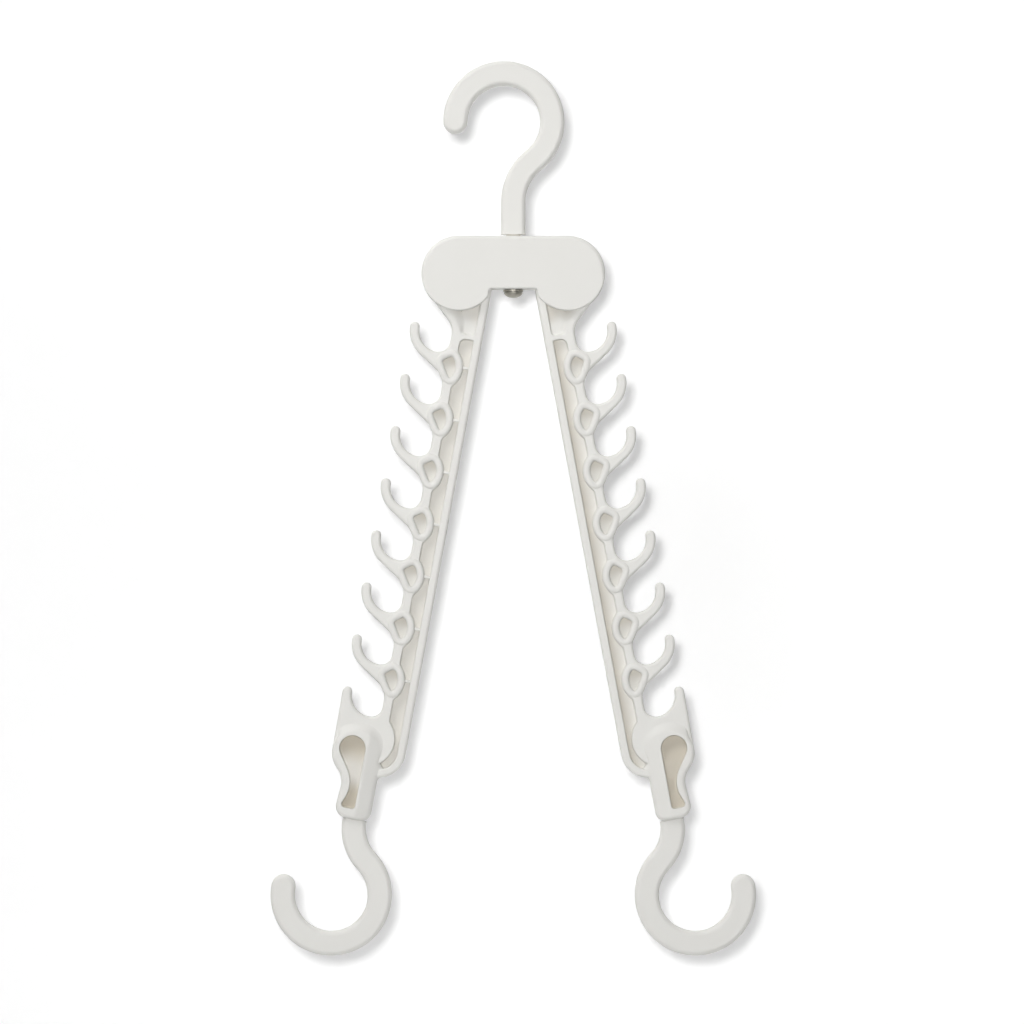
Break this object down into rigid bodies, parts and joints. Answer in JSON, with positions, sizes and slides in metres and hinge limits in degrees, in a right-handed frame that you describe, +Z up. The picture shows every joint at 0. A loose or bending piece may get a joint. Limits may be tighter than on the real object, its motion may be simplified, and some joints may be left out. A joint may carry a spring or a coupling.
{
  "type": "folding multi-hook hanger",
  "caption": "Folding vertical hanger: a swivel hook and head carry two hinged arms, each with a row of open garment hooks and a swivel hook at its end.",
  "frame": {"origin": "where a rail touches the inside of the top hook's crown, in the middle of the bar's thickness", "axes": "+Z up along the swivel axis, +X to the right seen from the front, +Y from the front to the back"},
  "size_m": [0.2435, 0.0172, 0.4485],
  "materials": {
    "hook_plastic": "satin",
    "head_plastic": "satin",
    "arm_plastic": "satin",
    "bright_steel": "polished",
    "screw_steel": "zinc plated"
  },
  "bodies": {
    "top_hook": {"top_hook": "hook_plastic", "swivel_rivet": "bright_steel", "swivel_washer": "bright_steel"},
    "head": {"head_front_cover": "head_plastic", "head_rear_cover": "head_plastic", "left_pivot_screw": "screw_steel", "right_pivot_screw": "screw_steel"},
    "left_arm": {"left_arm": "arm_plastic"},
    "right_arm": {"right_arm": "arm_plastic"},
    "left_end_hook": {"left_end_hook": "hook_plastic"},
    "right_end_hook": {"right_end_hook": "hook_plastic"}
  },
  "joints": [
    {"name": "head_swivel", "type": "hinge", "parent": "top_hook", "child": "head", "pos_m": [0.00475, 0, -0.09441], "axis": [0, 0, 1], "continuous": true},
    {"name": "left_arm_fold", "type": "hinge", "parent": "head", "child": "left_arm", "pos_m": [-0.0225, 0, -0.09441], "axis": [0, 1, 0], "range_deg": [0, 80]},
    {"name": "right_arm_fold", "type": "hinge", "parent": "head", "child": "right_arm", "pos_m": [0.032, 0, -0.09441], "axis": [0, -1, 0], "range_deg": [0, 80]},
    {"name": "left_end_hook_swivel", "type": "hinge", "parent": "left_arm", "child": "left_end_hook", "pos_m": [-0.07473, 0, -0.36798], "axis": [-0.1822, 0, -0.9833], "continuous": true},
    {"name": "right_end_hook_swivel", "type": "hinge", "parent": "right_arm", "child": "right_end_hook", "pos_m": [0.08423, 0, -0.36798], "axis": [0.1822, 0, -0.9833], "continuous": true}
  ]
}
